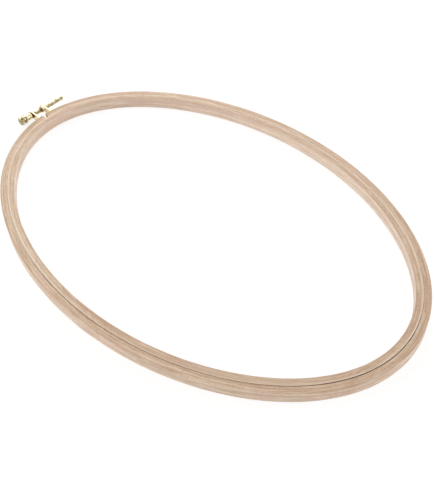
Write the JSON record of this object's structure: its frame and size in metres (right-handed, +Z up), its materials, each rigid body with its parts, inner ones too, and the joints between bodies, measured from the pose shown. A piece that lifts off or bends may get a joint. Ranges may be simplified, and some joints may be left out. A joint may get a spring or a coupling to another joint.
{
  "type": "embroidery hoop",
  "caption": "Oval wooden embroidery hoop: plain inner ring in a split outer ring, drawn together by a brass thumb screw between two bent brackets.",
  "frame": {"origin": "middle of the whole length and width, clamp included, on the face the hoop lies on", "axes": "+X along the long axis, away from the clamp; +Y along the thumb screw from its head to its tip; +Z up, through the opening"},
  "size_m": [0.3236, 0.2094, 0.0086],
  "materials": {
    "outer_beech": "bare sanded beech",
    "inner_beech": "bare sanded beech",
    "sheet_brass": "bright pressed sheet",
    "turned_brass": "bright turned",
    "nail_brass": "bright headed"
  },
  "bodies": {
    "root": {"outer_ring": "outer_beech", "left_bracket": "sheet_brass", "left_nail_1": "nail_brass", "left_nail_2": "nail_brass"},
    "screw": {"thumb_screw": "turned_brass"},
    "right_end": {"right_bracket": "sheet_brass", "right_nail_1": "nail_brass", "right_nail_2": "nail_brass"},
    "inner": {"inner_ring": "inner_beech"}
  },
  "joints": [
    {"name": "screw_turn", "type": "hinge", "parent": "root", "child": "screw", "pos_m": [-0.15807, 0, 0.004], "axis": [0, 1, 0], "range_deg": [-3600, 180]},
    {"name": "clamp_slide", "type": "slide", "parent": "root", "child": "right_end", "axis": [0, 1, 0], "range_m": [-0.0003, 0.006], "deforming": ["outer_ring"]},
    {"name": "inner_ring_lift", "type": "slide", "parent": "root", "child": "inner", "axis": [0, 0, 1], "range_m": [0, 0.04]}
  ],
  "couplings": [
    {"joint": "screw_turn", "follows": "clamp_slide", "rad_per_m": -10472}
  ]
}
